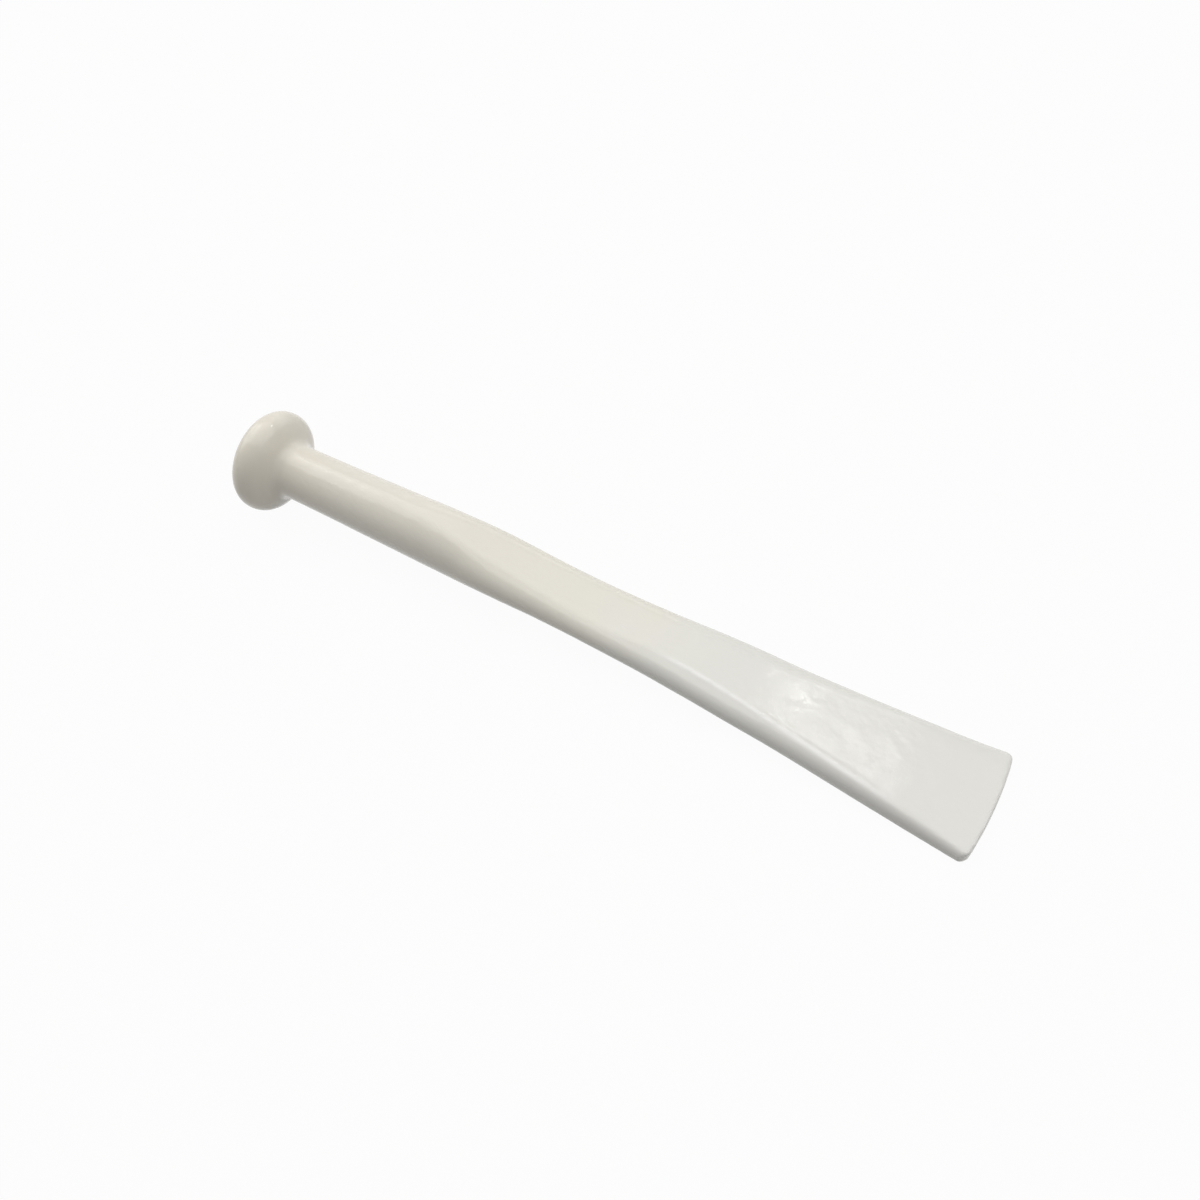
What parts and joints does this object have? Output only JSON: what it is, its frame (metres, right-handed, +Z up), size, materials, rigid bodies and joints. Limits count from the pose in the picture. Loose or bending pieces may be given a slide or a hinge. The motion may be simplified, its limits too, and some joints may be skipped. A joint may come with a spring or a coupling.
{
  "type": "lab spatula",
  "caption": "One-piece glazed porcelain lab spatula: a knob for pestling, a round handle, and a flat blade that flares to a wide, thin tip.",
  "frame": {"origin": "on the ground below the middle of the piece as it lies at rest", "axes": "+X along the piece from knob to tip, +Z up out of the blade's upper face, Y across the blade"},
  "size_m": [0.1998, 0.0304, 0.0265],
  "materials": {
    "glazed_porcelain": "warm white glaze over the whole piece"
  },
  "bodies": {
    "root": {"spatula": "glazed_porcelain"}
  },
  "joints": []
}
